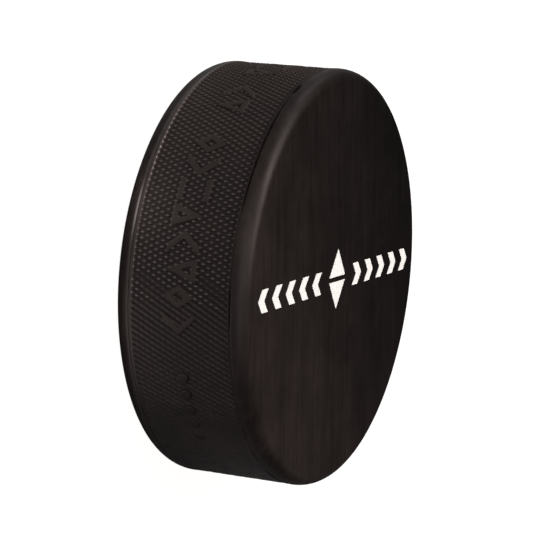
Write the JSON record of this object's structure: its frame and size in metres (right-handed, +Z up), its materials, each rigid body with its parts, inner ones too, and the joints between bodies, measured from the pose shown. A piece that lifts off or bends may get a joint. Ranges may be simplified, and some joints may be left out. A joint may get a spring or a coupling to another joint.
{
  "type": "ice hockey puck",
  "caption": "Solid rubber ice hockey puck with rounded rims, a knurled band with smooth raised marks, and a white geometric print across the front face.",
  "frame": {"origin": "centre of the back face, on which the puck lies", "axes": "+Z up, along the puck's axis from the plain back face to the printed front face; -Y is the side from which the print reads level"},
  "size_m": [0.0762, 0.0762, 0.0256],
  "materials": {
    "rubber": "satin moulded vulcanised rubber, matt on the knurled band",
    "white_ink": "thin matt screen-printed ink"
  },
  "bodies": {
    "root": {"rubber_body": "rubber", "print_chevron_left_1": "white_ink", "print_chevron_left_2": "white_ink", "print_chevron_left_3": "white_ink", "print_chevron_left_4": "white_ink", "print_chevron_left_5": "white_ink", "print_chevron_right_1": "white_ink", "print_chevron_right_2": "white_ink", "print_chevron_right_3": "white_ink", "print_chevron_right_4": "white_ink", "print_chevron_right_5": "white_ink", "print_lozenge_upper": "white_ink", "print_lozenge_lower": "white_ink"}
  },
  "joints": []
}
